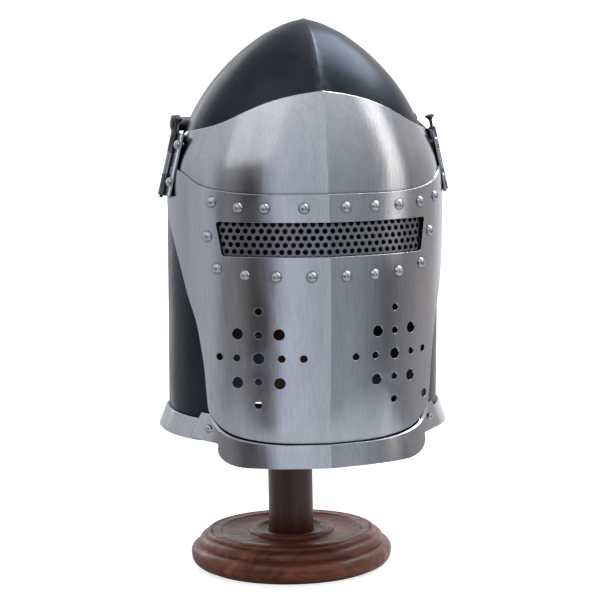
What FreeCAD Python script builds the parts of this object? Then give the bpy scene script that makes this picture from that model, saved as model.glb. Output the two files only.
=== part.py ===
import FreeCAD, Part
import math
import os
import Sketcher
from FreeCAD import Vector, Rotation, Placement

# Visored sugarloaf helmet on a turned wooden stand, in millimetres.
# Row frame: origin at the centre of the stand's foot, +Z up, the face looks along -Y, +X is the
# wearer's left. The helmet has a frame of its own (its mid-plane is X = 0, its Z = 0 is level with
# the middle of the breath crosses), set into the row frame by one placement: it sits on its stand
# nodding forward by a few degrees.

DIMENSIONS = [
    # helmet on its stand
    ("helmet_back", -17.0),
    ("helmet_height", 202.5),
    ("helmet_nod", 4.0),
    # turned stand
    ("base_radius", 85.0),
    ("tier_radius", 78.5),
    ("base_height", 30.0),
    ("dish_depth", 3.5),
    ("groove_radius", 67.5),
    ("inner_groove_radius", 59.5),
    ("ring_radius", 36.5),
    ("post_radius", 19.0),
    ("post_top", 351.0),
    ("tenon_radius", 12.0),
    ("tenon_length", 22.0),
    ("rest_radius", 40.0),
    ("rest_height", 46.0),
    ("felt_thickness", 1.5),
    ("screw_radius", 2.5),
    ("screw_length", 38.0),
    # helmet plates
    ("plate", 1.6),
    ("centre_plane", -46.0),
    ("apex_shift", 5.0),
    ("rear_ratio", 1.42),
    ("ridge_pull", 15.0),
    ("apex_height", 255.2),
    ("rim_height", -50.0),
    ("chin_height", -67.2),
    ("rim_drop", 16.5),
    ("rim_flare", 6.5),
    ("nape_drop", 20.0),
    # face of the visor
    ("visor_bottom", -66.6),
    ("slot_bottom", 77.0),
    ("slot_top", 103.0),
    ("slot_half", 82.3),
    ("grille_thickness", 1.0),
    ("perforation_radius", 2.0),
    ("perforation_pitch", 6.0),
    ("breath_pitch", 18.0),
    ("breath_offset", 53.6),
    ("breath_small_radius", 2.9),
    ("breath_large_radius", 4.4),
    ("latch_hole_radius", 3.5),
    # rivets
    ("rivet_head", 4.3),
    ("rivet_height", 2.9),
    ("rivet_shank", 1.6),
    # side hinges
    ("barrel_radius", 2.9),
    ("barrel_length", 50.4),
    ("barrel_lean", 13.0),
    ("barrel_foot_x", 115.6),
    ("barrel_y", -49.5),
    ("barrel_foot_z", 119.0),
    ("pin_radius", 1.55),
    ("pin_clearance", 0.08),
    ("knuckle_gap", 0.3),
    ("leaf_width", 16.0),
    ("leaf_thickness", 1.5),
    ("arm_thickness", 1.9),
    ("pivot_y", -12.0),
    ("pivot_z", 172.0),
    ("pivot_radius", 3.5),
    # liner
    ("liner_gap", 8.0),
    ("leather", 2.2),
    ("headband_bottom", 112.0),
    ("headband_top", 146.0),
    ("tongue_top", 224.0),
]

# Plan sections of the steel, from the bottom up: height, half width, depth from the widest plane
# to the front ridge.
SKULL_LEVELS = [
    (-95.0, 108.6, 81.6), (-35.0, 108.6, 82.6), (20.0, 108.3, 84.0), (60.0, 108.3, 83.0),
    (90.0, 108.2, 80.3), (113.0, 107.8, 77.4), (130.0, 106.6, 75.2), (146.0, 103.6, 72.6),
    (168.0, 94.0, 67.6), (186.0, 85.2, 62.0), (204.0, 73.6, 54.4), (222.0, 57.6, 44.2),
    (236.0, 41.2, 33.4), (246.0, 25.6, 22.0), (252.0, 11.6, 10.6),
]
# Outer face of the visor's lower plate; the brow plate lies one plate thickness inside it.
VISOR_LEVELS = [
    (-90.0, 111.6, 84.6), (-20.0, 111.9, 87.5), (20.0, 111.9, 88.0), (60.0, 111.9, 86.9),
    (90.0, 111.9, 84.5), (113.0, 111.9, 81.8), (130.0, 110.9, 79.8), (146.0, 108.0, 77.4),
    (168.0, 98.6, 72.4), (186.0, 89.6, 66.8), (204.0, 78.0, 59.2), (216.0, 67.5, 52.6),
]
QUARTER_STEPS = 9
REACH = 170.0
CROWN_START = 146.0
RIM_FRONT = 82.2
REAR_END = -101.0

doc = FreeCAD.newDocument("knight_helmet")
sheet = doc.addObject("Spreadsheet::Sheet", "Sheet")
for row, (alias, number) in enumerate(DIMENSIONS, start=1):
    sheet.set(f"A{row}", alias)
    sheet.set(f"B{row}", str(number))
    sheet.setAlias(f"B{row}", alias)
doc.recompute()


def size(alias):
    """A driving dimension, read from the sheet."""
    return float(sheet.get(alias))


HELMET = Placement(Vector(0, size("helmet_back"), size("helmet_height")),
                   Rotation(Vector(1, 0, 0), size("helmet_nod")))
PLATE = size("plate")
CENTRE_Y = size("centre_plane")
nodes = []


# ---------------------------------------------------------------- parametric helpers

class Length:
    """A length together with the sheet expression that gives it."""

    def __init__(self, value, text):
        self.value = value
        self.text = text

    def __add__(self, other):
        other = as_length(other)
        return Length(self.value + other.value, f"({self.text} + {other.text})")

    def __sub__(self, other):
        other = as_length(other)
        return Length(self.value - other.value, f"({self.text} - {other.text})")

    def __mul__(self, factor):
        return Length(self.value * factor, f"({self.text} * {factor})")


def as_length(value):
    if isinstance(value, Length):
        return value
    return Length(float(value), str(float(value)))


def cell(alias):
    return Length(size(alias), f"Sheet.{alias}")


def new_body(label, placement=Placement()):
    body = doc.addObject("PartDesign::Body", label)
    body.Label = label
    body.Placement = placement
    nodes.append(body)
    return body


def origin_plane(body, role):
    return [item for item in body.Origin.OriginFeatures if item.Role == role][0]


def new_sketch(body, role, name, offset=0.0):
    sketch = body.newObject("Sketcher::SketchObject", name)
    sketch.AttachmentSupport = [(origin_plane(body, role), "")]
    sketch.MapMode = "FlatFace"
    sketch.AttachmentOffset = Placement(Vector(0, 0, offset), Rotation())
    return sketch


def draw_profile(sketch, corners):
    """Closed outline of straight runs and arcs. A corner is (across, up) or (across, up, bulge),
    where bulge is the height of the arc that leads on to the next corner."""
    points = [(as_length(c[0]), as_length(c[1]), c[2] if len(c) > 2 else 0.0) for c in corners]
    for index, (across, up, bulge) in enumerate(points):
        following = points[(index + 1) % len(points)]
        start = Vector(across.value, up.value, 0)
        end = Vector(following[0].value, following[1].value, 0)
        if bulge:
            chord = end - start
            side = Vector(chord.y, -chord.x, 0).normalize()
            middle = (start + end) * 0.5 + side * bulge
            turns_left = (middle - start).cross(end - middle).z > 0
            ordered = (start, middle, end) if turns_left else (end, middle, start)
            geometry = sketch.addGeometry(Part.Arc(*ordered))
            first = 1 if turns_left else 2
        else:
            geometry = sketch.addGeometry(Part.LineSegment(start, end))
            first = 1
        pin_point(sketch, geometry, first, across, up)
        pin_point(sketch, geometry, 3 - first, *points[(index + 1) % len(points)][:2])


def pin_point(sketch, geometry, point, across, up):
    """Ties one end of an edge to the sheet."""
    for kind, length in (("DistanceX", across), ("DistanceY", up)):
        index = sketch.addConstraint(Sketcher.Constraint(kind, -1, 1, geometry, point, length.value))
        sketch.setExpression(f"Constraints[{index}]", length.text)


def revolve(body, name, corners):
    """Turns an outline in the XZ plane about the body's own Z axis."""
    sketch = new_sketch(body, "XZ_Plane", f"{name}_outline")
    draw_profile(sketch, corners)
    feature = body.newObject("PartDesign::Revolution", name)
    feature.Profile = sketch
    feature.ReferenceAxis = (sketch, ["V_Axis"])
    feature.Angle = 360.0
    doc.recompute()
    return feature


def plain_feature(label, shape, placement=HELMET):
    """A piece whose curved steel or leather only Part's own functions can make."""
    feature = doc.addObject("Part::Feature", label)
    feature.Label = label
    own_place = shape.Placement
    feature.Shape = shape
    feature.Placement = placement.multiply(own_place)
    nodes.append(feature)
    return feature


# ---------------------------------------------------------------- plates of the helmet

def section_reach(side, depth, share):
    """Distance of a plan section from the widest plane, at a share of its half width: an ellipse,
    drawn in beside the mid-line so that its two halves meet in a ridge."""
    pull = size("ridge_pull") * side / SKULL_LEVELS[0][1]
    return depth * math.sqrt(max(0.0, 1.0 - share * share)) - pull * share * (1.0 - share) ** 3


def plan_points(side, front, rear):
    """Half of a plan section from the front ridge to the rear ridge."""
    points = []
    for step in range(2 * QUARTER_STEPS + 1):
        angle = math.pi * step / (2 * QUARTER_STEPS)
        share = min(1.0, math.sin(angle))
        if step <= QUARTER_STEPS:
            points.append((side * share, -section_reach(side, front, share)))
        else:
            points.append((side * share, section_reach(side, rear, share)))
    return points


def centre_at(height):
    """The widest plane moves back a little in the pointed crown."""
    share = max(0.0, (height - 204.0) / (size("apex_height") - 204.0))
    return CENTRE_Y + size("apex_shift") * share ** 1.5


def plan_wire(height, side, front, rear):
    half = plan_points(side, front, rear)
    places = [index / (len(half) - 1.0) for index in range(len(half))]
    centre = centre_at(height)
    right = [Vector(x, centre + y, height) for x, y in half]
    left = [Vector(-x, centre + y, height) for x, y in reversed(half)]
    edges = []
    for points in (right, left):
        curve = Part.BSplineCurve()
        curve.interpolate(Points=points, Parameters=places)
        edges.append(curve.toShape())
    return Part.Wire(edges)


def loft_heights(low, high, gap):
    """Heights of the sections a plate is lofted through: close together at the top, then wider by
    a fifth each time, so that the surface doesn't swell between them."""
    heights = [high]
    while heights[0] > low:
        heights.insert(0, heights[0] - gap)
        gap = min(gap * 1.2, 13.0)
    spare = (low - heights[0]) / (high - heights[0])
    return [height + spare * (high - height) for height in heights]


def plate_solid(levels, inset, gap=8.0, apex=None):
    """The full form inside a plate face, inset from the given sections."""
    ratio = size("rear_ratio")
    profiles = []
    for height in loft_heights(levels[0][0], levels[-1][0], gap):
        side, front = level_at(levels, height)
        profiles.append(plan_wire(height, side - inset, front - inset, side * ratio - inset))
    if apex is not None:
        profiles.append(Part.Vertex(Vector(0, centre_at(apex) + 0.5, apex)))
    return Part.makeLoft(profiles, True, False)


def skull_solid(inset):
    drop = 1.15 * inset
    apex = size("apex_height")
    shrink = (apex - drop - CROWN_START) / (apex - CROWN_START)
    levels = []
    for height, side, front in SKULL_LEVELS:
        if side > 2.0 * inset:
            lowered = CROWN_START + (height - CROWN_START) * shrink
            levels.append((min(height, lowered), side, front))
    gap = max(3.6, 0.6 * (apex - drop - levels[-1][0]))
    return plate_solid(levels, inset, gap, apex - drop)


def visor_solid(inset):
    return plate_solid(VISOR_LEVELS, inset)


def flare_solid(steps, inset):
    """The form inside a flared rim: steps of height, growth at the sides and growth in front,
    joined by straight walls."""
    side = SKULL_LEVELS[0][1]
    rear = side * size("rear_ratio")
    profiles = [plan_wire(height, side + sideways - inset, RIM_FRONT + forward - inset,
                          rear + sideways - inset) for height, sideways, forward in steps]
    return Part.makeLoft(profiles, True, True)


def level_at(levels, height):
    """Half width and front depth at a height, on a smooth curve through the listed sections."""
    last = len(levels) - 2
    index = max(i for i in range(last + 1) if levels[i][0] <= height or i == 0)
    low, high = levels[index], levels[index + 1]
    run = high[0] - low[0]
    share = min(1.0, (height - low[0]) / run)
    found = []
    for part in (1, 2):
        rise = high[part] - low[part]
        slopes = []
        for end in (index, index + 1):
            before, after = levels[max(end - 1, 0)], levels[min(end + 1, last + 1)]
            slopes.append((after[part] - before[part]) / (after[0] - before[0]) * run)
        curve = share * (1 - share) * ((1 - share) * (slopes[0] - rise) + share * (rise - slopes[1]))
        found.append(low[part] + share * rise + curve)
    return tuple(found)


def curve_edge(points):
    curve = Part.BSplineCurve()
    curve.interpolate([Vector(*point) for point in points])
    return curve.toShape()


def outline_edges(points, closed=True):
    """Straight edges through points."""
    vectors = [Vector(*point) for point in points]
    if closed:
        vectors.append(vectors[0])
    return [Part.LineSegment(a, b).toShape() for a, b in zip(vectors, vectors[1:])]


def rounded_outline(corners, radius):
    """Closed flat outline whose corners are rounded with one radius."""
    vectors = [Vector(*corner) for corner in corners]
    edges = []
    ends = []
    for index, corner in enumerate(vectors):
        before = (vectors[index - 1] - corner).normalize()
        after = (vectors[(index + 1) % len(vectors)] - corner).normalize()
        half = before.getAngle(after) / 2.0
        cut = radius / math.tan(half)
        middle = (before + after).normalize() * (radius / math.sin(half) - radius)
        ends.append((corner + before * cut, corner + middle, corner + after * cut))
    for index, (start, middle, end) in enumerate(ends):
        edges.append(Part.Arc(start, middle, end).toShape())
        edges.append(Part.LineSegment(end, ends[(index + 1) % len(ends)][0]).toShape())
    return Part.Wire(edges)


def side_prism(wire):
    """Everything inside an outline drawn in side view, through the full width."""
    face = Part.Face(wire)
    face.translate(Vector(-REACH, 0, 0))
    return face.extrude(Vector(2 * REACH, 0, 0))


def side_box(y_low, y_high, z_low, z_high):
    return Part.makeBox(2 * REACH, y_high - y_low, z_high - z_low, Vector(-REACH, y_low, z_low))


def nape_slope():
    return size("nape_drop") / (SKULL_LEVELS[0][1] * size("rear_ratio"))


def lowered_nape(shape):
    """Slopes the part of a shape behind the widest plane down towards the nape."""
    shear = FreeCAD.Matrix()
    shear.A32 = -nape_slope()
    shear.A34 = nape_slope() * CENTRE_Y
    front = shape.common(side_box(-REACH, CENTRE_Y, -REACH, 2 * REACH))
    rear = shape.common(side_box(CENTRE_Y, REACH, -REACH, 2 * REACH)).transformGeometry(shear)
    return front.fuse(rear)


def mirrored(shape):
    return shape.mirror(Vector(0, 0, 0), Vector(1, 0, 0))


def one_solid(shape, label):
    solids = shape.Solids
    if len(solids) != 1:
        volumes = sorted((round(s.Volume, 1) for s in solids), reverse=True)
        print(f"{label}: {len(solids)} solids {volumes[:5]}")
        solids = sorted(solids, key=lambda s: s.Volume, reverse=True)
    return solids[0]


# ---------------------------------------------------------------- points on the plates

def surface_place(levels, inset, x, height):
    """Point on a plate's outer face in front of the widest plane, and the outward direction."""
    def depth(px, pz):
        side, front = level_at(levels, pz)
        share = min(1.0, abs(px) / (side - inset))
        return centre_at(pz) - section_reach(side - inset, front - inset, share)
    step = 0.5
    y = depth(x, height)
    slope_x = (depth(x + step, height) - depth(x - step, height)) / (2 * step)
    slope_z = (depth(x, height + step) - depth(x, height - step)) / (2 * step)
    outward = Vector(slope_x, -1.0, slope_z).normalize()
    return Vector(x, y, height), outward


def along(point, direction):
    """Placement whose Z axis points along a direction."""
    return Placement(point, Rotation(Vector(0, 0, 1), direction))


def rivet(head_radius, head_height, shank_radius, grip):
    """Domed rivet: the head's seat is at Z = 0 and the shank goes down to a flat tail."""
    ball = (head_radius ** 2 + head_height ** 2) / (2.0 * head_height)
    rim = Vector(head_radius, 0, 0)
    top = Vector(0, 0, head_height)
    angle = math.asin(head_radius / ball) / 2.0
    middle = Vector(ball * math.sin(angle), 0, head_height - ball + ball * math.cos(angle))
    tail = 0.9
    corners = [top, Vector(0, 0, -grip - tail), Vector(shank_radius * 1.7, 0, -grip - tail),
               Vector(shank_radius * 1.7, 0, -grip), Vector(shank_radius, 0, -grip),
               Vector(shank_radius, 0, 0), rim]
    edges = [Part.LineSegment(a, b).toShape() for a, b in zip(corners, corners[1:])]
    edges.append(Part.Arc(rim, middle, top).toShape())
    return Part.Face(Part.Wire(edges)).revolve(Vector(0, 0, 0), Vector(0, 0, 1), 360)


def placed(shape, placement):
    copy = shape.copy()
    copy.Placement = placement
    return copy


def both_sides(shapes):
    return shapes + [mirrored(shape) for shape in shapes]


# ---------------------------------------------------------------- stand

def make_stand():
    felt = cell("felt_thickness")
    radius = cell("base_radius")
    tier = cell("tier_radius")
    top = cell("base_height")
    post = cell("post_radius")
    tenon = cell("tenon_radius")
    socket = cell("base_height") - cell("tenon_length") * 0.8
    clearance = 0.1

    body = new_body("stand_base")
    groove = cell("groove_radius")
    inner = cell("inner_groove_radius")
    ring = cell("ring_radius")
    dish = top - cell("dish_depth")
    revolve(body, "turned_base", [
        (cell("screw_radius") * 2 + 0.4, felt), (radius - 6, felt, 2.0), (radius, felt + 9, 2.0),
        (radius - 4, felt + 17), (tier, felt + 17.6, 2.2), (tier - 6, top - 3.5, 1.2),
        (groove + 1, top), (groove, top - 1.2), (groove - 1, top), (inner + 1, top - 0.4),
        (inner, top - 1.6), (inner - 1, top - 0.9, -2.0), (ring + 2.5, dish),
        (ring, dish + 1.0, 1.3), (ring - 4, dish + 4.2, 0.8), (ring - 8, dish + 2.0, -0.8),
        (post + 3, dish + 1.2, 1.0), (post + 0.6, dish + 0.2), (tenon + clearance, dish + 0.2),
        (tenon + clearance, socket), (cell("screw_radius") + 0.3, socket),
        (cell("screw_radius") + 0.3, felt + 3.6), (cell("screw_radius") * 2 + 0.4, felt + 1.6)])

    body = new_body("stand_post")
    shoulder = dish + 0.2
    pilot = cell("screw_radius") + 0.02
    screw_end = cell("screw_length")
    revolve(body, "turned_post", [
        (pilot, socket + 0.2), (tenon, socket + 0.2), (tenon, shoulder), (post - 0.6, shoulder),
        (post, shoulder + 0.6), (post, cell("post_top") - 1), (post - 1, cell("post_top")),
        (tenon, cell("post_top")), (tenon, cell("post_top") + cell("tenon_length")),
        (0, cell("post_top") + cell("tenon_length")), (0, screw_end + 1), (pilot, screw_end + 1)])

    body = new_body("stand_head_rest")
    rest = cell("rest_radius")
    foot = cell("post_top")
    crown = foot + cell("rest_height")
    revolve(body, "turned_rest", [
        (tenon + clearance, foot), (post, foot), (post + 3, foot + 3, 1.0),
        (rest - 4, foot + 12, 2.0), (rest, foot + 19, 1.5), (rest - 8, crown - 10, 3.6),
        (4, crown), (0, crown), (0, foot + cell("tenon_length") + 0.5),
        (tenon + clearance, foot + cell("tenon_length") + 0.5)])

    pad = doc.addObject("Part::Cylinder", "stand_felt")
    pad.Label = "stand_felt"
    pad.setExpression("Radius", "Sheet.base_radius - 9")
    pad.setExpression("Height", "Sheet.felt_thickness")
    nodes.append(pad)

    body = new_body("stand_screw")
    shank = cell("screw_radius")
    length = cell("screw_length")
    revolve(body, "turned_screw", [
        (0, felt + 0.1), (shank * 2, felt + 0.1), (shank * 2, felt + 1.2), (shank, felt + 3.2),
        (shank, socket), (shank, length - 4), (0, length)])


# ---------------------------------------------------------------- skull and rims

def make_skull():
    half_window = [(101, 0, 126), (96, 0, 62), (76, 0, 30), (76, 0, -36)]
    window = rounded_outline([(-x, y, z) for x, y, z in reversed(half_window)] + half_window, 9.0)
    window_cut = Part.Face(window)
    window_cut.translate(Vector(0, -REACH, 0))
    window_cut = window_cut.extrude(Vector(0, REACH - 50, 0))

    rim = size("rim_height")
    chin = size("chin_height")
    drop = size("rim_drop")
    flare = size("rim_flare")
    rear_outer = [(rim, 0.3, 0.3), (rim - drop, flare, 2.4)]
    rear_inner = [(rim, -0.4, -0.4), (rim - drop, flare, 2.4)]
    front_outer = [(chin, 0.3, 0.3), (chin - 1.4, 8.1, 4.3), (chin - drop, 8.8, 7.9)]
    front_inner = [(chin, -0.4, -0.4), (chin - 1.2, -0.2, -0.2), (chin - 2.6, 8.1, 4.3),
                   (chin - drop, 8.8, 7.9)]

    wall = skull_solid(0.0).cut(skull_solid(PLATE))
    keep = lowered_nape(side_box(REAR_END, REACH, rim - 2.5, 300))
    keep = keep.fuse(side_box(-REACH, REAR_END, chin, 300))
    shell = wall.common(keep).cut(window_cut)
    rear_wall = flare_solid(rear_outer, 0.0).cut(flare_solid(rear_inner, PLATE))
    rear_wall = lowered_nape(rear_wall.common(side_box(REAR_END, REACH, rim - drop, rim - 1.5)))
    front_wall = flare_solid(front_outer, 0.0).cut(flare_solid(front_inner, PLATE))
    front_wall = front_wall.common(side_prism(skull_chin_outline()))
    skull = shell.fuse([rear_wall, front_wall]).removeSplitter()
    skull = skull.cut(both_sides(pivot_bores() + liner_bores()))

    low = rim - drop - 0.8
    neck_steps = [(rim, 0.3, 0.3), (rim - drop, flare, 2.4), (low, flare + 0.3, 2.5)]
    neck = flare_solid(neck_steps, -PLATE).cut(flare_solid(neck_steps, -0.04))
    neck = lowered_nape(neck.common(side_box(REAR_END + 4.0, REACH, low, rim - 1.2))).removeSplitter()

    chin_steps = [(rim + 8.0, 2.0, 3.0), (rim - drop, 9.8, 5.7), (chin - drop - 0.9, 10.6, 9.8)]
    band = flare_solid(chin_steps, 0.0).cut(flare_solid(chin_steps, PLATE))
    clear_of_visor = side_prism(visor_outline())
    clear_of_visor.translate(Vector(0, 0.35, -0.4))
    band = band.common(side_prism(chin_band_outline()))
    band = band.cut([skull, neck, clear_of_visor]).removeSplitter()
    rivets, shanks = band_rivets(neck_steps, chin_steps)
    plain_feature("neck_band", one_solid(neck.cut(shanks), "neck_band"))
    plain_feature("chin_band", one_solid(band.cut(shanks), "chin_band"))
    plain_feature("band_rivets", Part.makeCompound(rivets))

    skull = skull.cut(shanks)
    half = Part.makeBox(REACH, 2 * REACH, 400, Vector(0, -REACH, -100))
    plain_feature("skull_left", one_solid(skull.common(half), "skull_left"))
    plain_feature("skull_right", one_solid(skull.cut(half), "skull_right"))


def chin_band_outline():
    """Side view of the chin band and the upturned tab at its end; the visor's edge bounds its top."""
    low = size("chin_height") - size("rim_drop") - 0.9
    corner = Part.Arc(Vector(0, -109, low + 16.0), Vector(0, -112.8, low + 5.2), Vector(0, -124, low))
    edges = outline_edges([(0, -REACH, -46.0), (0, -93.5, -46.0), (0, -90.5, -64.0), (0, -92.0, -65.6),
                           (0, -107.8, -67.4), (0, -109, low + 16.0)], False)
    edges.append(corner.toShape())
    edges += outline_edges([(0, -124, low), (0, -REACH, low), (0, -REACH, -46.0)], False)
    return Part.Wire(edges)


def band_rivets(neck_steps, chin_steps):
    """Rivets through the tabs of the chin band and round the back of the neck band, with the
    cutters for their holes."""
    shape = rivet(3.4, 1.9, 1.5, 2 * PLATE)
    deep = rivet(3.4, 1.9, 1.5, 3 * PLATE + 0.2)
    height = -57.5
    places = [(deep, chin_steps, 0.1, 50.5), (shape, neck_steps, PLATE + 0.1, 128.0)]
    solids = []
    for solid, steps, cover, degrees in places:
        solids += both_sides([placed(solid, flare_place(steps, cover, degrees, height))])
    solids.append(placed(shape, flare_place(neck_steps, PLATE + 0.1, 180.0, height)))
    bore = Part.makeCylinder(1.55, 20, Vector(0, 0, -10))
    shanks = [placed(bore, solid.Placement) for solid in solids]
    return solids, shanks


def flare_place(steps, cover, degrees, height):
    """Placement on the outside of a flared rim at an angle round the helmet from the front."""
    (high, *grown_high), (low, *grown_low) = steps[:2]
    angle = math.radians(degrees)
    share = (high - height) / (high - low)
    sideways, forward = [a + share * (b - a) + cover for a, b in zip(grown_high, grown_low)]
    slope = (grown_low[0] - grown_high[0]) / (high - low)
    side = SKULL_LEVELS[0][1]
    if degrees < 90:
        depth = RIM_FRONT + forward
        rise = math.cos(angle) ** 2
        slope += rise * ((grown_low[1] - grown_high[1]) / (high - low) - slope)
    else:
        depth = side * size("rear_ratio") + sideways
    run = section_reach(side + sideways, depth, math.sin(angle))
    point = Vector((side + sideways) * math.sin(angle), CENTRE_Y - math.copysign(run, math.cos(angle)),
                   height)
    point.z -= nape_slope() * max(0.0, point.y - CENTRE_Y)
    outward = Vector(math.sin(angle) / side, -math.cos(angle) / depth, 0).normalize()
    outward = (outward - Vector(0, 0, slope)).normalize()
    return along(point, outward)


def skull_chin_outline():
    """Side view of the skull's own rim below the chin, a little inside the chin band's edge."""
    top = size("chin_height")
    low = top - size("rim_drop")
    corner = Part.Arc(Vector(0, -124.5, low), Vector(0, -115.5, low + 4.6), Vector(0, -112.5, low + 13))
    edges = outline_edges([(0, -110.5, top), (0, -REACH, top), (0, -REACH, low), (0, -124.5, low)], False)
    edges.append(corner.toShape())
    edges += outline_edges([(0, -112.5, low + 13), (0, -110.5, top)], False)
    return Part.Wire(edges)


# ---------------------------------------------------------------- visor plates

# Edges of the visor in front view, at the wearer's left: along the bottom, then up the cheek.
BOTTOM_EDGE = [(31.0, -66.4), (52.0, -64.8), (67.0, -62.0), (78.0, -57.0), (85.0, -50.0), (88.5, -43.0)]
CHEEK_EDGE = [(88.5, -43.0), (89.8, -28.0), (91.2, -9.0), (93.5, 9.0), (96.5, 27.0), (100.7, 43.0),
              (104.7, 63.0), (109.3, 88.0)]


def in_side_view(edge):
    """Points of the visor's face, given in front view, as they stand in side view."""
    return [(0, surface_place(VISOR_LEVELS, 0.0, x, height)[0].y, height) for x, height in edge]


def visor_outline():
    """Side view of the whole visor."""
    low = size("visor_bottom")
    start = (0, -132.0, low)
    bottom = curve_edge([start] + in_side_view(BOTTOM_EDGE))
    cheek = curve_edge(in_side_view(CHEEK_EDGE) + [(0, -54.5, 108), (0, -52.5, 122)])
    brow = curve_edge([(0, -54.5, 168), (0, -75, 171.6), (0, -88, 177), (0, -97, 187),
                       (0, -105.6, 201), (0, -114, 214)])
    edges = outline_edges([(0, -REACH, low), start], False) + [bottom, cheek]
    edges += outline_edges([(0, -52.5, 122), (0, -52.5, 166), (0, -54.5, 168)], False)
    edges.append(brow)
    edges += outline_edges([(0, -114, 214), (0, -REACH, 214), (0, -REACH, low)], False)
    return Part.Wire(edges)


def breath_holes():
    """One breath cross on the wearer's left: small holes make the arms, large ones the corners."""
    pitch = size("breath_pitch")
    centre = size("breath_offset")
    holes = []
    small = [(0, 1), (0, 2), (0, -1), (0, -2), (0.85, 0), (1.5, 0), (-0.93, 0), (-1.84, 0)]
    large = [(0, 0), (0.82, 1.03), (-0.82, 1.03), (0.82, -1.06), (-0.86, -1.06)]
    for places, radius in ((small, size("breath_small_radius")), (large, size("breath_large_radius"))):
        for across, up in places:
            holes.append((centre + across * pitch, up * pitch, radius))
    return holes


def hole_cutter(x, height, radius):
    point, outward = surface_place(VISOR_LEVELS, 0.0, x, height)
    return placed(Part.makeCylinder(radius, 16.0), along(point - outward * 8.0, outward))


# Rivets round the eye slot: place across the face and height.
UPPER_RIVETS = [(-85.0, 117.5), (-67.0, 113.9), (-48.0, 113.6), (-19.0, 113.6), (13.4, 114.0),
                (37.5, 114.0), (58.0, 114.2), (78.0, 115.0), (94.3, 117.6)]
LOWER_RIVETS = [(-82.0, 67.6), (-63.0, 63.4), (-40.5, 62.4), (-14.2, 62.4), (12.7, 62.4),
                (36.0, 62.4), (57.0, 63.4), (78.5, 67.6)]
SIDE_RIVETS = [(-88.0, 91.3), (88.0, 91.3)]


def make_visor():
    region = side_prism(visor_outline())
    lap = Part.Wire(outline_edges([(0, -40, 141), (0, -40, -REACH), (0, -REACH, -REACH),
                                   (0, -REACH, 124), (0, -126, 124)], False)
                    + [curve_edge([(0, -126, 124), (0, -110, 124.6), (0, -98, 127), (0, -86, 131),
                                   (0, -76, 136.5), (0, -66, 140), (0, -50, 141)])]
                    + outline_edges([(0, -50, 141), (0, -40, 141)], False))
    outer = visor_solid(0.0)
    middle = visor_solid(PLATE)
    brow_outer = visor_solid(PLATE + 0.05)
    inner = visor_solid(2 * PLATE)

    rivet_cuts = [hole_cutter(x, z, size("rivet_shank") + 0.05)
                  for x, z in UPPER_RIVETS + LOWER_RIVETS + SIDE_RIVETS]
    breath_cuts = [hole_cutter(x, z, radius) for x, z, radius in breath_holes()]
    extra = hole_cutter(83.0, -36.5, size("latch_hole_radius"))
    half = size("slot_half")
    low = size("slot_bottom")
    high = size("slot_top")
    slot = Part.Face(rounded_outline([(-half + 4, -REACH, low), (half - 4, -REACH, low),
                                      (half, -REACH, high), (-half, -REACH, high)], 2.0))
    slot = slot.extrude(Vector(0, REACH - 60, 0))

    face = outer.cut(middle).common(region).common(side_prism(lap))
    leaves = both_sides([placed(hinge_leaf(), hinge_frame(False))])
    face = face.cut([slot, extra] + rivet_cuts + both_sides(breath_cuts) + leaves)
    plain_feature("visor_face_plate", one_solid(face, "visor_face_plate"))

    brow = brow_outer.cut(inner).common(region).common(side_box(-REACH, 0, 106.5, 300))
    brow = brow.cut(rivet_cuts + leaves)
    plain_feature("visor_brow_plate", one_solid(brow, "visor_brow_plate"))
    make_grille(rivet_cuts)
    make_visor_rivets()


def make_grille(rivet_cuts):
    """Perforated sheet behind the eye slot: its lower edge lies on the face plate and its upper edge
    behind the brow plate."""
    thin = size("grille_thickness")
    gap = 0.1

    def sheet_face(extra):
        levels = []
        for height in (40.0, 58.0, 74.0, 90.0, 104.0, 118.0, 130.0):
            side, front = level_at(VISOR_LEVELS, height)
            rise = min(1.0, max(0.0, (height - 68.0) / 36.0))
            inset = PLATE + gap + extra + rise * (PLATE + gap)
            levels.append((height, side - inset, front - inset))
        return plate_solid(levels, 0.0)

    solid = sheet_face(0.0).cut(sheet_face(thin))
    outline = Part.Wire(outline_edges([(0, -REACH, 57.0), (0, -95, 57.0), (0, -80.0, 66.0),
                                       (0, -80.0, 116.0), (0, -95, 119.5), (0, -REACH, 119.5)]))
    solid = solid.common(side_prism(outline))
    pitch = size("perforation_pitch")
    rise = pitch * math.sqrt(3) / 2.0
    middle = (size("slot_bottom") + size("slot_top")) / 2.0 + 1.0
    cutters = []
    for row in range(-3, 4):
        height = middle + row * rise
        first = 0.5 * pitch if row % 2 else 0.0
        arc = first
        while True:
            x = arc_to_x(arc, height)
            if x > size("slot_half") + 3.0:
                break
            point, outward = surface_place(VISOR_LEVELS, 2 * PLATE, x, height)
            hole = Part.makeCylinder(size("perforation_radius"), 12.0)
            hole = placed(hole, along(point - outward * 7.0, outward))
            cutters.append(hole)
            if x > 0.01:
                cutters.append(mirrored(hole))
            arc += pitch
    solid = solid.cut(cutters + rivet_cuts)
    plain_feature("ocular_grille", one_solid(solid, "ocular_grille"))


def arc_to_x(arc, height):
    """Sideways place of a point that lies a given distance round the plate from the mid-line."""
    x = 0.0
    travelled = 0.0
    step = 0.25
    while travelled < arc:
        here = surface_place(VISOR_LEVELS, 2 * PLATE, x, height)[0]
        there = surface_place(VISOR_LEVELS, 2 * PLATE, x + step, height)[0]
        travelled += here.distanceToPoint(there)
        x += step
    return x


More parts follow.
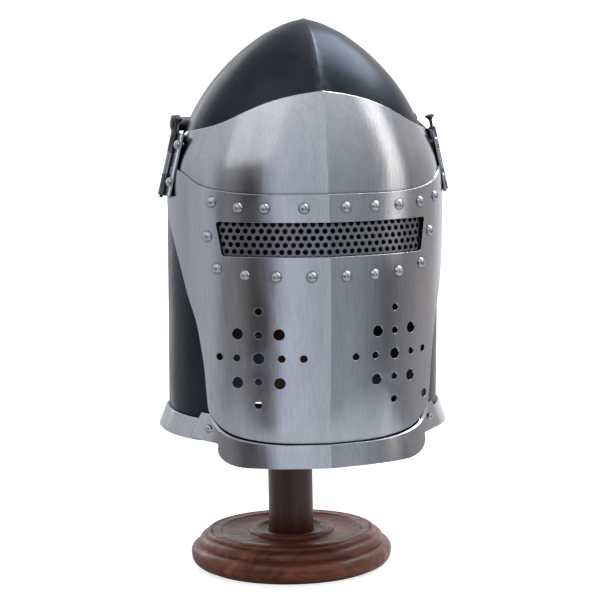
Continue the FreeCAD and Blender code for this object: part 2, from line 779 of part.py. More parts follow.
def rivet_row(label, places, grip):
    shape = rivet(size("rivet_head"), size("rivet_height"), size("rivet_shank"), grip)
    solids = []
    for x, height in places:
        point, outward = surface_place(VISOR_LEVELS, 0.0, x, height)
        solids.append(placed(shape, along(point + outward * 0.1, outward)))
    plain_feature(label, Part.makeCompound(solids))


def make_visor_rivets():
    thin = size("grille_thickness")
    rivet_row("upper_slot_rivets", UPPER_RIVETS, 2 * PLATE + thin + 0.5)
    rivet_row("lower_slot_rivets", LOWER_RIVETS, PLATE + thin + 0.4)
    rivet_row("side_slot_rivets", SIDE_RIVETS, PLATE + thin + 1.8)


# ---------------------------------------------------------------- side hinges

PLATE_BEND = 7.0


def hinge_frame(mirror):
    """Frame of one barrel: Z along the barrel, X away from the head, Y to the back."""
    lean = size("barrel_lean")
    sign = -1.0 if mirror else 1.0
    foot = Vector(sign * size("barrel_foot_x"), size("barrel_y"), size("barrel_foot_z"))
    return Placement(foot, Rotation(Vector(0, 1, 0), -sign * lean))


def knuckle(low, high):
    return Part.makeCylinder(size("barrel_radius"), high - low, Vector(0, 0, low))


def bore(length):
    return Part.makeCylinder(size("pin_radius") + size("pin_clearance"), length + 20, Vector(0, 0, -10))


def plate_piece(corners, thickness, bend):
    """Flat plate beside the barrel, tangent to its inner side and turned about the barrel's axis."""
    inner = -size("barrel_radius")
    face = Part.Face(Part.Wire(outline_edges([(inner, y, z) for y, z in corners])))
    solid = face.extrude(Vector(thickness, 0, 0))
    solid.rotate(Vector(0, 0, 0), Vector(0, 0, 1), bend)
    return solid


def make_hinges():
    frame = hinge_frame(False)
    leaf = placed(hinge_leaf(), frame)
    arm = make_arm(frame)
    for name, mirror in (("left", False), ("right", True)):
        for stem, solid in (("hinge_leaf", leaf), ("pivot_arm", arm)):
            solid = mirrored(solid) if mirror else solid
            plain_feature(f"{stem}_{name}", one_solid(solid, f"{stem}_{name}"))
        make_pin(f"hinge_pin_{name}", hinge_frame(mirror))
        make_pivot(name, mirror)
    make_leaf_rivets()


def barrel_measures():
    """Length of the barrel, of a third of it, half the gap between knuckles, and how far the
    plates beside the barrel stay off its axis."""
    length = size("barrel_length")
    return length, length / 3.0, size("knuckle_gap") / 2.0, size("barrel_radius") + 0.6


def hinge_leaf():
    """Leaf with the barrel's middle knuckle, in the barrel's frame."""
    length, third, gap, clear = barrel_measures()
    width = size("leaf_width")
    leaf = plate_piece([(-width, 1.0), (-clear, 0), (-clear, third + gap + 0.4), (0, third + gap + 0.4),
                        (0, 2 * third - gap - 0.4), (-clear, 2 * third - gap - 0.4), (-clear, length),
                        (-width, length - 1.0)], size("leaf_thickness"), -PLATE_BEND)
    return leaf.fuse(knuckle(third + gap, 2 * third - gap)).cut(bore(length)).removeSplitter()


def make_arm(frame):
    """Arm from the barrel's two outer knuckles back to the temple pivot."""
    length, third, gap, clear = barrel_measures()
    bend = PLATE_BEND
    pivot = Vector(0, size("pivot_y"), size("pivot_z"))
    reach = pivot.y - size("barrel_y")
    rise = (pivot.z - size("barrel_foot_z")) / math.cos(math.radians(size("barrel_lean")))
    thickness = size("arm_thickness")
    lower = plate_piece([(0, 0), (clear + 1, 0), (clear + 1, third - gap - 0.4), (0, third - gap - 0.4)],
                        thickness, bend)
    upper = plate_piece([(0, 2 * third + gap + 0.4), (clear + 1, 2 * third + gap + 0.4),
                         (clear + 1, length), (0, length)], thickness, bend)
    web = plate_piece([(clear, 0.0), (clear + 6, 2.0), (reach + 7, rise - 9), (reach + 9, rise),
                       (reach + 6, rise + 7), (reach - 1, rise + 8.5), (clear + 5, length),
                       (clear, length)], thickness, bend)
    arm = web.fuse([lower, upper, knuckle(0, third - gap), knuckle(2 * third + gap, length)])
    arm = placed(arm.cut(bore(length)), frame)
    boss = Part.makeCylinder(7.0, 4.4, Vector(pivot_boss_x(), pivot.y, pivot.z), Vector(1, 0, 0))
    hole = Part.makeCylinder(size("pivot_radius") + 0.08, 60, Vector(80, pivot.y, pivot.z), Vector(1, 0, 0))
    room = Part.makeCylinder(size("pivot_radius") * 1.6 + 0.5, 40,
                             Vector(pivot_boss_x() - 40, pivot.y, pivot.z), Vector(1, 0, 0))
    return arm.fuse(boss).cut([hole, room]).removeSplitter()


def pivot_boss_x():
    """Inner face of the arm's boss, a little way off the skull."""
    return 95.6


def pivot_bores():
    reach = Part.makeCylinder(size("pivot_radius"), 40, Vector(70, size("pivot_y"), size("pivot_z")),
                              Vector(1, 0, 0))
    return [reach]


def make_pivot(name, mirror):
    """Shouldered stud riveted through the skull, with a broad low head outside the arm."""
    sign = -1.0 if mirror else 1.0
    seat = pivot_boss_x() - 0.35
    inner = 84.8
    outer = pivot_boss_x() + 4.4 + 0.3
    place = Placement(Vector(0, size("pivot_y"), size("pivot_z")), Rotation(Vector(0, 1, 0), 90 * sign))
    body = new_body(f"pivot_stud_{name}", HELMET.multiply(place))
    radius = cell("pivot_radius")
    revolve(body, f"stud_{name}", [
        (0, inner), (radius - 0.02, inner), (radius - 0.02, outer), (radius * 2.0, outer, 0.6),
        (radius * 1.2, outer + 1.6, 0.3), (1, outer + 2.2), (0, outer + 2.2)])
    base = Vector(80, size("pivot_y"), size("pivot_z"))
    collar = Part.makeCylinder(radius.value * 1.6, seat - base.x, base, Vector(1, 0, 0))
    collar = collar.cut([Part.makeCylinder(radius.value, 40, base, Vector(1, 0, 0)), skull_solid(-0.02)])
    plain_feature(f"pivot_collar_{name}", one_solid(mirrored(collar) if mirror else collar, "collar"))


def make_pin(label, frame):
    """Removable pin with a collar that sits on the barrel and a trumpet-shaped head."""
    body = new_body(label, HELMET.multiply(frame))
    radius = cell("pin_radius")
    top = cell("barrel_length")
    revolve(body, f"{label}_turned", [
        (0, -2.0), (radius - 0.5, -2.0), (radius, -0.8), (radius, top + 0.1),
        (radius + 1.0, top + 0.1), (radius + 1.0, top + 1.0), (radius - 0.35, top + 1.8),
        (radius - 0.35, top + 6.0, -0.5), (radius + 2.3, top + 9.6), (radius + 2.3, top + 10.4, 0.3),
        (0.8, top + 11.2), (0, top + 11.2)])


def make_leaf_rivets():
    shape = rivet(4.2, 2.8, size("rivet_shank"), 3.6)
    frame = hinge_frame(False)
    turn = Placement(Vector(0, 0, 0), Rotation(Vector(0, 0, 1), -PLATE_BEND))
    solids = []
    for height in (11.5, 41.0):
        seat = Vector(-size("barrel_radius") + size("leaf_thickness") + 0.02, -9.6, height)
        local = turn.multiply(Placement(seat, Rotation(Vector(0, 1, 0), 90)))
        solids.append(placed(shape, frame.multiply(local)))
    plain_feature("leaf_rivets", Part.makeCompound(both_sides(solids)))


# ---------------------------------------------------------------- leather liner

def make_liner():
    gap = size("liner_gap")
    leather = size("leather")
    band_low = size("headband_bottom")
    band_high = size("headband_top")
    band = skull_solid(gap + leather).common(side_box(-REACH, REACH, band_low, band_high))
    band = band.cut(skull_solid(gap + 2 * leather)).cut(both_sides(liner_bores()))
    plain_feature("liner_headband", one_solid(band, "liner_headband"))

    tongues = skull_solid(gap).common(side_box(-REACH, REACH, band_low + 6, size("tongue_top")))
    tongues = tongues.cut(skull_solid(gap + leather - 0.05))
    centre = Vector(0, -22, 0)
    count = 8
    cuts = []
    for index in range(count):
        turn = 360.0 * (index + 0.5) / count
        wedge = Part.Face(Part.Wire(outline_edges([(-5.5, 150, band_high + 12), (5.5, 150, band_high + 12),
                                                   (19.0, 150, 300), (-19.0, 150, 300)])))
        wedge = wedge.extrude(Vector(0, -140, 0))
        nick = Part.makeCylinder(5.5, 140, Vector(0, 10, band_high + 12), Vector(0, 1, 0))
        for cut in (wedge, nick):
            cut.rotate(Vector(0, 0, 0), Vector(0, 0, 1), turn)
            cut.translate(centre)
            cuts.append(cut)
    tongues = tongues.cut(cuts + both_sides(liner_bores()))
    plain_feature("liner_tongues", one_solid(tongues, "liner_tongues"))
    make_liner_rivets(gap, leather)


def liner_places():
    """Seats of the small rivets round the back of the skull that hold the headband."""
    side, front = level_at(SKULL_LEVELS, 132.0)
    rear = side * size("rear_ratio")
    places = []
    for degrees in (110, 138, 162):
        angle = math.radians(degrees)
        point = Vector(side * math.sin(angle), CENTRE_Y - rear * math.cos(angle), 132.0)
        outward = Vector(math.sin(angle) / side, -math.cos(angle) / rear, 0).normalize()
        places.append(along(point + outward * 0.25, outward))
    return places


def liner_bores():
    bore = Part.makeCylinder(1.32, 24, Vector(0, 0, -18))
    return [placed(bore, place) for place in liner_places()]


def make_liner_rivets(gap, leather):
    shape = rivet(2.9, 1.4, 1.3, gap + 2 * leather + 0.6)
    solids = [placed(shape, place) for place in liner_places()]
    plain_feature("liner_rivets", Part.makeCompound(both_sides(solids)))


# ---------------------------------------------------------------- make and write

def check_and_write():
    doc.recompute()
    for item in doc.Objects:
        if "Invalid" in item.State or "Error" in item.State:
            raise RuntimeError(f"{item.Label} is {item.State}")
    for node in nodes:
        if node.Shape.isNull() or not node.Shape.isValid():
            raise RuntimeError(f"{node.Label} has no valid shape")
    os.makedirs("parts", exist_ok=True)
    for node in nodes:
        node.Shape.exportStep(f"parts/{node.Label}.step")
        box = node.Shape.BoundBox
        print(f"{node.Label}: {node.Shape.Volume:.0f} mm3, {len(node.Shape.Solids)} solid(s), "
              f"x {box.XMin:.1f}..{box.XMax:.1f} y {box.YMin:.1f}..{box.YMax:.1f} "
              f"z {box.ZMin:.1f}..{box.ZMax:.1f}")


make_stand()
make_skull()
make_visor()
make_hinges()
make_liner()
check_and_write()
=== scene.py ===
import math

import bmesh
import bpy
from mathutils import Matrix, Vector, noise
from mathutils.bvhtree import BVHTree


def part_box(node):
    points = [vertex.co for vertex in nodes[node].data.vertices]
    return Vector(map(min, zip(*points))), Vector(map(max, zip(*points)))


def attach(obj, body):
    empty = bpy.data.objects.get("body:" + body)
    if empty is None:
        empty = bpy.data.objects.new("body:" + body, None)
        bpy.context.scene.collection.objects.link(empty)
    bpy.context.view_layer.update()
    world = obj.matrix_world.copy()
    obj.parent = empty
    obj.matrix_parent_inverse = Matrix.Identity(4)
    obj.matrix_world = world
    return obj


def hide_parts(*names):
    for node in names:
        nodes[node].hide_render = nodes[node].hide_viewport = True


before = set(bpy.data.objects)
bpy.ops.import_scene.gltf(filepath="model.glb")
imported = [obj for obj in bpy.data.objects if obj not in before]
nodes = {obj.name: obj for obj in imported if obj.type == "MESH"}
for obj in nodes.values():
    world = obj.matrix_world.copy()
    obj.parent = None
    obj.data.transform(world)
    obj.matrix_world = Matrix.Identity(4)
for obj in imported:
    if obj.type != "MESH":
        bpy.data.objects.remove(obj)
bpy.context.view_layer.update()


# ---------------------------------------------------------------- node-tree helpers

class Tree:
    """A material's node tree, with short calls for the nodes used here."""

    def __init__(self, name):
        self.material = bpy.data.materials.new(name)
        self.material.use_nodes = True
        self.nodes = self.material.node_tree.nodes
        self.links = self.material.node_tree.links
        self.shader = self.nodes["Principled BSDF"]
        self.coords = self.nodes.new("ShaderNodeTexCoord").outputs["Object"]

    def set(self, **values):
        for name, value in values.items():
            self.shader.inputs[name.replace("_", " ")].default_value = value

    def mapped(self, scale):
        node = self.nodes.new("ShaderNodeMapping")
        node.inputs["Scale"].default_value = scale
        self.links.new(self.coords, node.inputs["Vector"])
        return node.outputs["Vector"]

    def noise(self, vector, scale, detail=4.0, rough=0.55, distortion=0.0):
        node = self.nodes.new("ShaderNodeTexNoise")
        node.inputs["Scale"].default_value = scale
        node.inputs["Detail"].default_value = detail
        node.inputs["Roughness"].default_value = rough
        node.inputs["Distortion"].default_value = distortion
        self.links.new(vector, node.inputs["Vector"])
        return node.outputs["Fac"]

    def spots(self, vector, scale):
        node = self.nodes.new("ShaderNodeTexVoronoi")
        node.inputs["Scale"].default_value = scale
        self.links.new(vector, node.inputs["Vector"])
        return node.outputs["Distance"]

    def ramp(self, value, stops):
        node = self.nodes.new("ShaderNodeValToRGB")
        ramp = node.color_ramp
        while len(ramp.elements) < len(stops):
            ramp.elements.new(0.5)
        for element, (place, colour) in zip(ramp.elements, stops):
            element.position = place
            element.color = (*colour, 1.0)
        self.links.new(value, node.inputs["Fac"])
        return node.outputs["Color"]

    def span(self, value, low, high, out_low, out_high):
        node = self.nodes.new("ShaderNodeMapRange")
        limits = {"From Min": low, "From Max": high, "To Min": out_low, "To Max": out_high}
        for name, number in limits.items():
            node.inputs[name].default_value = number
        self.links.new(value, node.inputs["Value"])
        return node.outputs["Result"]

    def mix(self, factor, first, second):
        """Mix of two colours, each a socket or plain red, green and blue; factor is a socket."""
        node = self.nodes.new("ShaderNodeMix")
        node.data_type = "RGBA"
        self.links.new(factor, node.inputs[0])
        for socket, value in ((node.inputs[6], first), (node.inputs[7], second)):
            if isinstance(value, bpy.types.NodeSocket):
                self.links.new(value, socket)
            else:
                socket.default_value = (*value, 1.0)
        return node.outputs[2]

    def bump(self, layers, bevel=0.0):
        """Stacked bump from (height, strength, distance) layers, over edges shaded as if rounded."""
        normal = None
        if bevel:
            edge = self.nodes.new("ShaderNodeBevel")
            edge.samples = 6
            edge.inputs["Radius"].default_value = bevel
            normal = edge.outputs["Normal"]
        for height, strength, distance in layers:
            node = self.nodes.new("ShaderNodeBump")
            node.inputs["Strength"].default_value = strength
            node.inputs["Distance"].default_value = distance
            self.links.new(height, node.inputs["Height"])
            if normal is not None:
                self.links.new(normal, node.inputs["Normal"])
            normal = node.outputs["Normal"]
        self.links.new(normal, self.shader.inputs["Normal"])

    def feed(self, socket, name):
        self.links.new(socket, self.shader.inputs[name])


def worn_edges(tree, low, high):
    """0 in the flats and 1 on convex edges, broken up by noise."""
    geometry = tree.nodes.new("ShaderNodeNewGeometry")
    edge = tree.span(geometry.outputs["Pointiness"], low, high, 0.0, 1.0)
    patchy = tree.span(tree.noise(tree.mapped((1, 1, 1)), 90.0), 0.35, 0.65, 0.25, 1.0)
    node = tree.nodes.new("ShaderNodeMath")
    node.operation = "MULTIPLY"
    tree.links.new(edge, node.inputs[0])
    tree.links.new(patchy, node.inputs[1])
    return node.outputs[0]


def corner_shade_and_grime(tree):
    """Painted shade and grime: rises to 1 in corners, round rivet heads, along laps and in holes."""
    node = tree.nodes.new("ShaderNodeAmbientOcclusion")
    node.samples = 8
    node.inputs["Distance"].default_value = 0.0035
    return tree.span(node.outputs["AO"], 0.5, 0.9, 0.9, 0.0)


# ---------------------------------------------------------------- materials

# Colours are linear red, green and blue; noise scales are per metre.

def polished_steel(name, bright, dark, rough, streak=1.0):
    """Satin hand-polished plate: fine upright sanding lines, soft clouding and a few stains."""
    tree = Tree(name)
    lines = tree.noise(tree.mapped((1.0, 1.0, 0.05)), 900.0, 3.0, 0.6)
    broad = tree.noise(tree.mapped((1.0, 1.0, 0.12)), 26.0, 4.0, 0.6, 0.3)
    cloud = tree.noise(tree.mapped((1, 1, 1)), 14.0, 5.0, 0.6, 0.4)
    stain = tree.noise(tree.mapped((1, 1, 0.6)), 48.0, 6.0, 0.62, 0.8)
    base = tree.ramp(broad, [(0.3, dark), (0.72, bright)])
    base = tree.mix(tree.span(lines, 0.3, 0.75, 0.0, 0.35), base, tuple(0.72 * c for c in dark))
    base = tree.mix(tree.span(stain, 0.62, 0.8, 0.0, 0.45), base, (0.33, 0.27, 0.22))
    # painted shade and grime: near-black in corners, round rivets, along laps and in holes
    base = tree.mix(corner_shade_and_grime(tree), base, (0.03, 0.028, 0.028))
    tree.feed(base, "Base Color")
    tree.feed(tree.span(cloud, 0.3, 0.72, rough - 0.06, rough + 0.09), "Roughness")
    tree.set(Metallic=1.0)
    dents = tree.noise(tree.mapped((1, 1, 0.5)), 15.0, 2.0, 0.5)
    layers = [(dents, 0.32, 0.004), (broad, 0.1 * streak, 0.002), (lines, 0.04 * streak, 0.0004)]
    tree.bump(layers, bevel=0.0006)
    return tree.material


def blackened_steel(name, tone, rough):
    """Chemically blackened plate: blue-black, faintly mottled, with rubbed edges."""
    tree = Tree(name)
    mottle = tree.noise(tree.mapped((1, 1, 1)), 22.0, 6.0, 0.62, 0.5)
    fine = tree.noise(tree.mapped((1, 1, 0.35)), 260.0, 4.0, 0.6)
    darker, lighter = (tuple(share * c for c in tone) for share in (0.75, 1.25))
    base = tree.ramp(mottle, [(0.3, darker), (0.7, lighter)])
    base = tree.mix(tree.span(fine, 0.45, 0.8, 0.0, 0.3), base, tuple(1.5 * c for c in tone))
    rubbed = tuple(3.0 * c + 0.05 for c in tone)
    base = tree.mix(worn_edges(tree, 0.53, 0.6), base, rubbed)
    tree.feed(base, "Base Color")
    tree.feed(tree.span(mottle, 0.3, 0.72, rough - 0.06, rough + 0.1), "Roughness")
    tree.set(Metallic=0.9, Coat_Weight=0.03, Coat_Roughness=0.3)
    dents = tree.noise(tree.mapped((1, 1, 1)), 13.0, 2.0, 0.5)
    tree.bump([(dents, 0.16, 0.004), (fine, 0.04, 0.0005)])
    return tree.material


def turned_wood(name, upright, tone):
    """Dark stained hardwood, rubbed and waxed; the grain runs up the post and across the base."""
    tree = Tree(name)
    scale = (20.0, 20.0, 0.8) if upright else (1.1, 13.0, 13.0)
    vector = tree.mapped(scale)
    grain = tree.noise(vector, 6.0, 8.0, 0.62, 0.15 if upright else 1.2)
    pores = tree.noise(tree.mapped(tuple(6.0 * s for s in scale)), 12.0, 3.0, 0.6)
    patch = tree.noise(tree.mapped((1, 1, 1)), 9.0, 3.0, 0.5)
    stops = [(0.28, (0.02, 0.005, 0.0025)), (0.5, (0.075, 0.02, 0.009)), (0.72, (0.15, 0.045, 0.02))]
    base = tree.ramp(grain, [(place, tuple(tone * c for c in colour)) for place, colour in stops])
    base = tree.mix(tree.span(patch, 0.35, 0.7, 0.0, 0.4), base, (0.06, 0.014, 0.007))
    base = tree.mix(tree.span(pores, 0.58, 0.72, 0.0, 0.75), base, (0.008, 0.003, 0.002))
    base = tree.mix(worn_edges(tree, 0.57, 0.66), base, (0.23, 0.1, 0.06))
    tree.feed(base, "Base Color")
    tree.feed(tree.span(grain, 0.3, 0.7, 0.46, 0.32), "Roughness")
    tree.set(Specular_IOR_Level=0.3, Coat_Weight=0.16, Coat_Roughness=0.18)
    tree.bump([(pores, 0.16, 0.0004), (grain, 0.12, 0.0006)])
    return tree.material


def tanned_leather(name, base_colour, dark_colour):
    tree = Tree(name)
    grain = tree.spots(tree.mapped((1, 1, 1)), 620.0)
    crease = tree.noise(tree.mapped((1, 1, 1)), 60.0, 6.0, 0.65, 1.0)
    patch = tree.noise(tree.mapped((1, 1, 1)), 14.0, 4.0, 0.55)
    base = tree.ramp(patch, [(0.3, dark_colour), (0.7, base_colour)])
    base = tree.mix(tree.span(crease, 0.55, 0.75, 0.0, 0.5), base, dark_colour)
    base = tree.mix(worn_edges(tree, 0.53, 0.62), base, tuple(1.5 * c for c in base_colour))
    tree.feed(base, "Base Color")
    tree.feed(tree.span(crease, 0.3, 0.7, 0.5, 0.68), "Roughness")
    tree.bump([(crease, 0.25, 0.0012), (grain, 0.35, 0.0004)])
    return tree.material


def pressed_felt(name):
    tree = Tree(name)
    fibre = tree.noise(tree.mapped((1, 1, 1)), 900.0, 6.0, 0.75, 2.0)
    patch = tree.noise(tree.mapped((1, 1, 1)), 30.0, 4.0, 0.6)
    base = tree.ramp(fibre, [(0.3, (0.008, 0.03, 0.014)), (0.7, (0.03, 0.085, 0.045))])
    base = tree.mix(tree.span(patch, 0.4, 0.7, 0.0, 0.3), base, (0.012, 0.04, 0.02))
    tree.feed(base, "Base Color")
    tree.set(Roughness=0.95, Sheen_Weight=0.5, Sheen_Roughness=0.5)
    tree.bump([(fibre, 0.6, 0.0008)])
    return tree.material


def waxed_thread(name):
    tree = Tree(name)
    twist = tree.noise(tree.mapped((1, 1, 1)), 1400.0, 3.0, 0.6)
    base = tree.ramp(twist, [(0.3, (0.24, 0.19, 0.12)), (0.7, (0.5, 0.42, 0.29))])
    tree.feed(base, "Base Color")
    tree.set(Roughness=0.6)
    tree.bump([(twist, 0.4, 0.0003)])
    return tree.material


VISOR = polished_steel("visor_plate_steel", (0.56, 0.57, 0.6), (0.38, 0.39, 0.42), 0.2)
BAND = polished_steel("rim_band_steel", (0.6, 0.61, 0.64), (0.42, 0.43, 0.46), 0.2)
GRILLE = polished_steel("grille_sheet_steel", (0.26, 0.27, 0.29), (0.15, 0.155, 0.17), 0.34, 0.4)
RIVET = polished_steel("rivet_bright_steel", (0.5, 0.5, 0.52), (0.33, 0.33, 0.35), 0.22, 0.2)
LEAF = polished_steel("hinge_leaf_steel", (0.5, 0.51, 0.54), (0.34, 0.35, 0.38), 0.24)
SKULL = blackened_steel("skull_blackened_steel", (0.018, 0.021, 0.027), 0.32)
HINGE = blackened_steel("hinge_blackened_steel", (0.035, 0.035, 0.038), 0.4)
# one wood, two tones: post darkened as painted shade, base and head rest lightened as painted light
POST_WOOD_SHADED = turned_wood("stand_post_wood_shaded", True, 0.8)
BASE_WOOD_LIT = turned_wood("stand_base_wood_lit", False, 2.3)
LEATHER = tanned_leather("liner_leather", (0.24, 0.115, 0.05), (0.1, 0.045, 0.02))
FELT = pressed_felt("foot_felt")
THREAD = waxed_thread("liner_thread")

MATERIALS = {
    "stand_base": BASE_WOOD_LIT, "stand_post": POST_WOOD_SHADED, "stand_head_rest": BASE_WOOD_LIT,
    "stand_felt": FELT, "stand_screw": LEAF,
    "skull_left": SKULL, "skull_right": SKULL,
    "neck_band": BAND, "chin_band": BAND, "band_rivets": RIVET,
    "visor_face_plate": VISOR, "visor_brow_plate": VISOR, "ocular_grille": GRILLE,
    "upper_slot_rivets": RIVET, "lower_slot_rivets": RIVET, "side_slot_rivets": RIVET,
    "leaf_rivets": RIVET, "liner_rivets": HINGE,
    "liner_headband": LEATHER, "liner_tongues": LEATHER,
}
for name, node in nodes.items():
    material = MATERIALS.get(name)
    if material is None:
        material = LEAF if name.startswith("hinge_leaf") else HINGE
    node.data.materials.clear()
    node.data.materials.append(material)


# ---------------------------------------------------------------- leather liner

# Lengths are in metres.
HELMET_NOD = 4.0            # degrees that the helmet nods forward on its stand
ROW_MARGIN = 0.0085         # left out at the top and bottom of the headband's box
ROW_PLACES = (0.13, 0.87)   # shares of the height between the margins
STITCHES = 150              # in each row
STITCH_STRETCH = 1.25       # length, as a share of the distance between two needle holes
STITCH_LIFT = 0.0002
STITCH_HALF_WIDTH = 0.00055
STITCH_HALF_HEIGHT = 0.00042


def softened(node_name, piece_name, voxel, swell):
    """A leather piece with rounded cut edges and a slightly uneven surface, from its plain solid."""
    source = nodes[node_name]
    piece = bpy.data.objects.new(piece_name, source.data.copy())
    bpy.context.scene.collection.objects.link(piece)
    remesh = piece.modifiers.new("even_faces", "REMESH")
    remesh.mode = "VOXEL"
    remesh.voxel_size = voxel
    smooth = piece.modifiers.new("round_edges", "SMOOTH")
    smooth.iterations = 6
    evaluated = piece.evaluated_get(bpy.context.evaluated_depsgraph_get())
    mesh = bpy.data.meshes.new_from_object(evaluated)
    piece.modifiers.clear()
    piece.data = mesh
    normals = [v.normal.copy() for v in mesh.vertices]
    for vertex, normal in zip(mesh.vertices, normals):
        wave = noise.noise(vertex.co * 45.0) + 0.5 * noise.noise(vertex.co * 140.0)
        vertex.co += normal * (swell * wave)
    for polygon in mesh.polygons:
        polygon.use_smooth = True
    mesh.materials.clear()
    mesh.materials.append(LEATHER)
    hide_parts(node_name)
    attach(piece, "helmet")
    return piece


def stitch_row(bm, tree, centre, height_at, count):
    """Short raised stitches on the inside of the headband, found by looking outwards from its
    middle."""
    hits = []
    for index in range(2 * count):
        angle = 2.0 * math.pi * index / (2 * count)
        direction = Vector((math.cos(angle), math.sin(angle), 0.0))
        origin = Vector((centre.x, centre.y, 0.0))
        origin.z = height_at(centre.y + 0.1 * direction.y)
        point, normal, _, _ = tree.ray_cast(origin, direction)
        hits.append((point, normal))
    for index in range(0, len(hits), 2):
        start, normal = hits[index]
        end = hits[(index + 1) % len(hits)][0]
        if start is None or end is None:
            continue
        along = (end - start) * STITCH_STRETCH
        middle = (start + end) * 0.5 + normal * STITCH_LIFT
        side = normal.cross(along).normalized()
        turn = Matrix((along.normalized(), side, normal)).transposed().to_4x4()
        size = Matrix.Diagonal((along.length * 0.5, STITCH_HALF_WIDTH, STITCH_HALF_HEIGHT, 1.0))
        bmesh.ops.create_icosphere(bm, subdivisions=2, radius=1.0,
                                   matrix=Matrix.Translation(middle) @ turn @ size)


def make_liner():
    band = softened("liner_headband", "leather_headband", voxel=0.0011, swell=0.00018)
    softened("liner_tongues", "leather_tongues", voxel=0.0013, swell=0.0003)
    tree = BVHTree.FromPolygons([v.co for v in band.data.vertices],
                                [p.vertices for p in band.data.polygons])
    low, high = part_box("liner_headband")
    centre = (low + high) * 0.5
    slope = math.tan(math.radians(HELMET_NOD))
    bm = bmesh.new()
    for share in ROW_PLACES:
        height = low.z + ROW_MARGIN + share * (high.z - low.z - 2.0 * ROW_MARGIN)
        stitch_row(bm, tree, centre, lambda y, h=height: h + slope * (y - centre.y), STITCHES)
    mesh = bpy.data.meshes.new("liner_stitches")
    bm.to_mesh(mesh)
    bm.free()
    for polygon in mesh.polygons:
        polygon.use_smooth = True
    mesh.materials.append(THREAD)
    stitches = bpy.data.objects.new("liner_stitches", mesh)
    bpy.context.scene.collection.objects.link(stitches)
    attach(stitches, "helmet")


make_liner()


# ---------------------------------------------------------------- stage, light and camera

LIGHT_AIM = (0, 0, 0.3)


def area_light(name, place, width, height, power, colour=(1, 1, 1)):
    data = bpy.data.lights.new(name, "AREA")
    data.shape = "RECTANGLE"
    data.size = width
    data.size_y = height
    data.energy = power
    data.color = colour
    light = bpy.data.objects.new(name, data)
    light.location = place
    towards = Vector(LIGHT_AIM) - Vector(place)
    light.rotation_euler = towards.to_track_quat("-Z", "Y").to_euler()
    bpy.context.scene.collection.objects.link(light)


# Tone of the room by direction, in degrees from straight in front towards the wearer's left. It
# isn't an even studio light: the tones were worked back from ones measured across the visor in the
# photograph, so that its steel reflects the same lights and darks. One tone all round would be
# the plain room.
ROOM = [(-180, (0.42, 0.43, 0.46)), (-95, (0.4, 0.41, 0.44)), (-70, (0.42, 0.43, 0.45)),
        (-60, (0.15, 0.15, 0.155)), (-48, (0.23, 0.225, 0.225)), (-36, (0.05, 0.039, 0.036)),
        (-24, (0.065, 0.053, 0.051)), (-15, (0.66, 0.7, 0.81)), (-5, (0.46, 0.49, 0.55)),
        (10, (0.34, 0.36, 0.4)), (32, (0.27, 0.29, 0.32)), (44, (0.17, 0.18, 0.19)),
        (56, (0.09, 0.09, 0.097)), (70, (0.23, 0.23, 0.24)), (90, (0.36, 0.335, 0.325)),
        (112, (0.4, 0.38, 0.38)), (135, (0.74, 0.74, 0.75)), (180, (0.42, 0.43, 0.46))]
ROOM_STRENGTH = 1.5
CEILING = (0.66, 0.68, 0.72, 1.0)
CEILING_STARTS, CEILING_WHOLE = 0.1, 0.65       # upward part of the direction, of 1
CEILING_SHARE = 0.7
WHITE = (1.0, 1.0, 1.0, 1.0)
FLOOR_SIZE, FLOOR_DROP, FLOOR_GLOW = 0.9, 0.0002, 0.75


def room_light():
    """World light by direction; camera rays see plain white in its place."""
    world = bpy.data.worlds.new("studio")
    bpy.context.scene.world = world
    world.use_nodes = True
    links = world.node_tree.links
    make = world.node_tree.nodes.new
    background = world.node_tree.nodes["Background"]
    coords = make("ShaderNodeTexCoord")
    parts = make("ShaderNodeSeparateXYZ")
    links.new(coords.outputs["Generated"], parts.inputs[0])
    front = make("ShaderNodeMath")
    front.operation = "MULTIPLY"
    front.inputs[1].default_value = -1.0
    links.new(parts.outputs["Y"], front.inputs[0])
    bearing = make("ShaderNodeMath")
    bearing.operation = "ARCTAN2"
    links.new(parts.outputs["X"], bearing.inputs[0])
    links.new(front.outputs[0], bearing.inputs[1])
    place = make("ShaderNodeMapRange")
    place.inputs["From Min"].default_value = -math.pi
    place.inputs["From Max"].default_value = math.pi
    links.new(bearing.outputs[0], place.inputs["Value"])
    ramp = make("ShaderNodeValToRGB")
    stops = ramp.color_ramp.elements
    while len(stops) < len(ROOM):
        stops.new(0.5)
    for stop, (degrees, tone) in zip(stops, ROOM):
        stop.position = degrees / 360.0 + 0.5
        stop.color = (*tone, 1.0)
    links.new(place.outputs["Result"], ramp.inputs["Fac"])
    lift = make("ShaderNodeMapRange")
    lift.inputs["From Min"].default_value = CEILING_STARTS
    lift.inputs["From Max"].default_value = CEILING_WHOLE
    lift.inputs["To Max"].default_value = CEILING_SHARE
    links.new(parts.outputs["Z"], lift.inputs["Value"])
    ceiling = make("ShaderNodeMix")
    ceiling.data_type = "RGBA"
    ceiling.inputs[7].default_value = CEILING
    links.new(lift.outputs["Result"], ceiling.inputs[0])
    links.new(ramp.outputs["Color"], ceiling.inputs[6])
    path = make("ShaderNodeLightPath")
    pick = make("ShaderNodeMix")
    pick.data_type = "RGBA"
    pick.inputs[7].default_value = WHITE
    links.new(path.outputs["Is Camera Ray"], pick.inputs[0])
    links.new(ceiling.outputs[2], pick.inputs[6])
    links.new(pick.outputs[2], background.inputs["Color"])
    background.inputs["Strength"].default_value = ROOM_STRENGTH


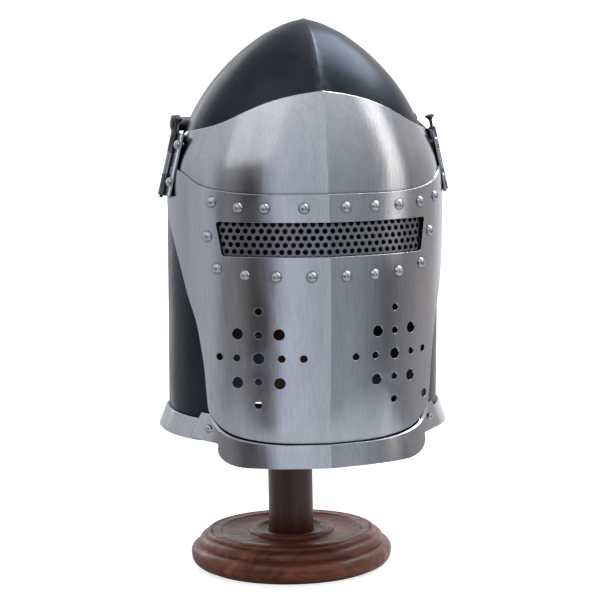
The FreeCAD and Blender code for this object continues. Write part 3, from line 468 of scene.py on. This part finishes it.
def plain_floor():
    """Pale floor, small enough that the visor reflects the room beyond it. It glows for camera
    rays only, so that it is as white as the background."""
    tree = Tree("stage_floor")
    tint = tree.noise(tree.mapped((1, 1, 1)), 3.0)
    tree.feed(tree.ramp(tint, [(0.3, (0.5, 0.5, 0.5)), (0.7, (0.54, 0.54, 0.54))]), "Base Color")
    tree.set(Roughness=0.9, Emission_Color=WHITE)
    path = tree.nodes.new("ShaderNodeLightPath")
    glow = tree.span(path.outputs["Is Camera Ray"], 0.0, 1.0, 0.0, FLOOR_GLOW)
    tree.feed(glow, "Emission Strength")
    bpy.ops.mesh.primitive_plane_add(size=FLOOR_SIZE, location=(0, 0, -FLOOR_DROP))
    floor = bpy.context.object
    floor.name = "stage_floor"
    floor.data.materials.append(tree.material)


CAMERA_PLACE = (-0.2920, -1.3332, 0.3498)
CAMERA_LOOKS = (0.2206, 0.9711, -0.0913)
CAMERA_ROLL = -0.9          # degrees
CAMERA_LENS = 97.3          # millimetres


def aim_camera():
    """Camera in front, to the wearer's right and a little below the visor's pivots, looking
    slightly down."""
    data = bpy.data.cameras.new("camera")
    data.lens = CAMERA_LENS
    data.sensor_width = 36.0
    camera = bpy.data.objects.new("camera", data)
    forward = Vector(CAMERA_LOOKS).normalized()
    right = forward.cross(Vector((0, 0, 1))).normalized()
    up = right.cross(forward)
    roll = math.radians(CAMERA_ROLL)
    tilted_right = right * math.cos(roll) + up * math.sin(roll)
    tilted_up = tilted_right.cross(forward)
    turn = Matrix((tilted_right, tilted_up, -forward)).transposed().to_4x4()
    camera.matrix_world = Matrix.Translation(CAMERA_PLACE) @ turn
    bpy.context.scene.collection.objects.link(camera)
    bpy.context.scene.camera = camera


room_light()
plain_floor()
area_light("key", (-1.1, -1.5, 1.6), 1.5, 1.6, 6.0)
area_light("fill", (1.5, -1.0, 0.9), 0.5, 1.4, 4.0, (1.0, 0.93, 0.88))
area_light("top", (1.0, 0.05, 1.9), 1.2, 1.3, 48.0, (0.82, 0.91, 1.0))
area_light("back", (-0.8, 1.5, 1.0), 1.0, 1.4, 7.0)
aim_camera()
bpy.context.scene.view_settings.view_transform = "Standard"
